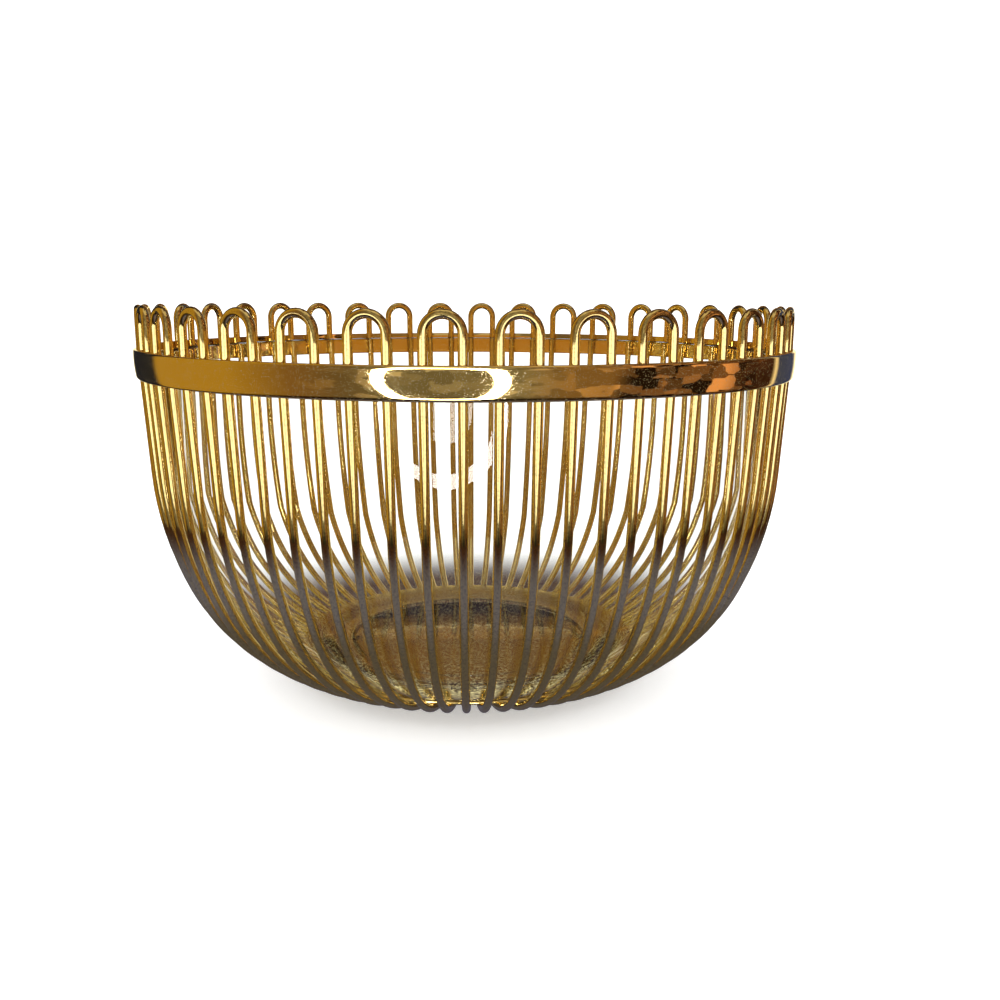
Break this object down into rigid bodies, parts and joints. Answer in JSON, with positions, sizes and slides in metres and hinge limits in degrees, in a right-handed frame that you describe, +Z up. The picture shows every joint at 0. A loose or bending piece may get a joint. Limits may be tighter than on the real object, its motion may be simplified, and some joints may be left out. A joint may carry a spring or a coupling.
{
  "type": "wire produce basket",
  "caption": "Round wire basket of bent hairpin wires with a crowned rim band, a dished base, foot pads and a clear lift-out bowl, for fruit and other produce.",
  "frame": {"origin": "centre of the circle that the foot pads stand on, at the table's surface", "axes": "+Z up along the basket's axis; +X and +Y are level, and the first hairpin is centred on -Y"},
  "size_m": [0.24, 0.24, 0.14],
  "materials": {
    "wire_gold": "polished gold plating over steel wire",
    "band_gold": "mirror-polished gold plating over steel strip",
    "dish_gold": "polished gold plating over pressed steel",
    "bowl_glass": "clear pressed glass",
    "pad_clear": "clear soft plastic"
  },
  "bodies": {
    "basket": {"rim_band": "band_gold", "base_dish": "dish_gold", "foot_pad_1": "pad_clear", "foot_pad_2": "pad_clear", "foot_pad_3": "pad_clear", "foot_pad_4": "pad_clear", "hairpin_01": "wire_gold", "hairpin_02": "wire_gold", "hairpin_03": "wire_gold", "hairpin_04": "wire_gold", "hairpin_05": "wire_gold", "hairpin_06": "wire_gold", "hairpin_07": "wire_gold", "hairpin_08": "wire_gold", "hairpin_09": "wire_gold", "hairpin_10": "wire_gold", "hairpin_11": "wire_gold", "hairpin_12": "wire_gold", "hairpin_13": "wire_gold", "hairpin_14": "wire_gold", "hairpin_15": "wire_gold", "hairpin_16": "wire_gold", "hairpin_17": "wire_gold", "hairpin_18": "wire_gold", "hairpin_19": "wire_gold", "hairpin_20": "wire_gold", "hairpin_21": "wire_gold", "hairpin_22": "wire_gold", "hairpin_23": "wire_gold", "hairpin_24": "wire_gold", "hairpin_25": "wire_gold", "hairpin_26": "wire_gold", "hairpin_27": "wire_gold", "hairpin_28": "wire_gold", "hairpin_29": "wire_gold", "hairpin_30": "wire_gold", "hairpin_31": "wire_gold", "hairpin_32": "wire_gold", "hairpin_33": "wire_gold", "hairpin_34": "wire_gold", "hairpin_35": "wire_gold", "hairpin_36": "wire_gold"},
    "liner": {"liner_bowl": "bowl_glass"}
  },
  "joints": [
    {"name": "liner_lift", "type": "slide", "parent": "basket", "child": "liner", "axis": [0, 0, 1], "range_m": [0, 0.14]}
  ]
}
